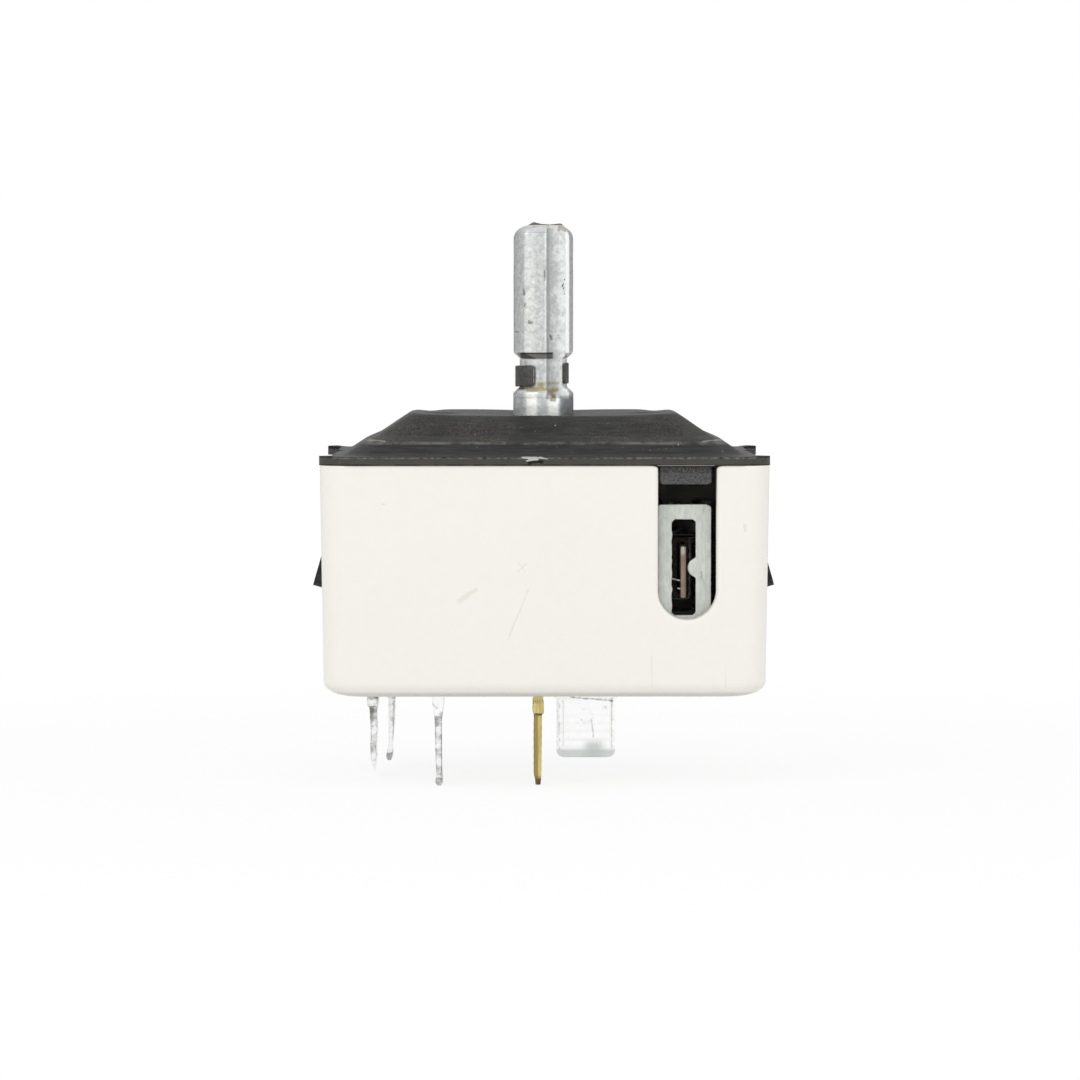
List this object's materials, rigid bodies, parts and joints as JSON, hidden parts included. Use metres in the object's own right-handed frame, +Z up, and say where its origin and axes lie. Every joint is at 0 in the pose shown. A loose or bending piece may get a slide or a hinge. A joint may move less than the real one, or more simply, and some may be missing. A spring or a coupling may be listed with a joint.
{
  "type": "cooktop element control switch",
  "caption": "Rotary cooktop heat control: moulded box, pressed steel cover, push-to-turn slotted shaft, bimetal blade in an inspection slot and push-on tabs below.",
  "frame": {"origin": "middle of the line between the two panel screw holes, on the cover's raised face and on the shaft axis", "axes": "+Z up the shaft towards the knob, +X to the right across the wide side, -Y out of the side with the inspection slot"},
  "size_m": [0.049, 0.0358, 0.0588],
  "materials": {
    "ivory_moulding": "moulded thermoset, satin",
    "black_paint": "satin black paint on pressed steel, dusty and scratched",
    "zinc_casting": "dull zinc die casting, pitted, with old grease",
    "dark_spring_steel": "oil-blackened spring strip",
    "spring_steel": "bright drawn steel",
    "dark_phenolic": "moulded phenolic",
    "galvanised_steel": "dull zinc plated sheet",
    "bimetal_strip": "rolled strip, heat tinted",
    "mica_wrap": "mica wrap",
    "heater_wire": "resistance wire",
    "brass": "rolled brass, tarnished at the tip",
    "contact_copper": "spring copper alloy strip",
    "white_ceramic": "glazed",
    "contact_silver": "bright contact rivet",
    "tinned_steel": "bright tin plate"
  },
  "bodies": {
    "body": {"housing": "ivory_moulding", "cover": "black_paint", "detent_spring": "spring_steel", "lever_pin": "spring_steel", "cycling_fixed_contact": "contact_silver", "line_arm_rivet": "spring_steel", "terminal_l1": "brass", "terminal_h1": "tinned_steel", "terminal_p": "tinned_steel", "terminal_l2": "tinned_steel", "terminal_h2": "tinned_steel", "line_arm": "contact_copper", "line_moving_contacts": "contact_silver", "line_fixed_contact": "contact_silver", "pilot_fixed_contact": "contact_silver"},
    "cam": {"cam": "dark_phenolic", "return_spring": "spring_steel"},
    "shaft": {"shaft": "zinc_casting", "knob_clip": "dark_spring_steel"},
    "lever": {"thermal_lever": "galvanised_steel", "lever_spring": "spring_steel", "bimetal_blade": "bimetal_strip", "blade_rivets": "spring_steel", "heater_sleeve": "mica_wrap", "heater_winding": "heater_wire", "calibrating_screw": "brass"},
    "actuator": {"actuator_plate": "galvanised_steel"},
    "contact_arm": {"cycling_arm": "contact_copper", "arm_insulator": "white_ceramic", "cycling_moving_contact": "contact_silver"}
  },
  "joints": [
    {"name": "cam_turn", "type": "hinge", "parent": "body", "child": "cam", "pos_m": [0, 0, -0.02], "axis": [0, 0, 1], "range_deg": [-300, 0], "deforming": ["detent_spring", "line_arm"]},
    {"name": "shaft_push", "type": "slide", "parent": "cam", "child": "shaft", "axis": [0, 0, -1], "range_m": [0, 0.0025], "stiffness_N_per_m": 400, "springref_m": -0.004, "deforming": ["return_spring"]},
    {"name": "lever_swing", "type": "hinge", "parent": "body", "child": "lever", "pos_m": [0.0172, -0.01, -0.016], "axis": [0, 0, 1], "range_deg": [-4.01, 0], "deforming": ["lever_spring"]},
    {"name": "actuator_slide", "type": "slide", "parent": "body", "child": "actuator", "axis": [1, 0, 0], "range_m": [0, 0.00025], "stiffness_N_per_m": 150, "springref_m": -0.002},
    {"name": "contact_arm_swing", "type": "hinge", "parent": "body", "child": "contact_arm", "pos_m": [-0.0084, -0.0123, -0.02633], "axis": [0, 1, 0], "range_deg": [0, 3.25]}
  ],
  "couplings": [
    {"joint": "lever_swing", "follows": "cam_turn", "ratio": 0.013333},
    {"joint": "contact_arm_swing", "follows": "actuator_slide", "rad_per_m": 224.72}
  ]
}
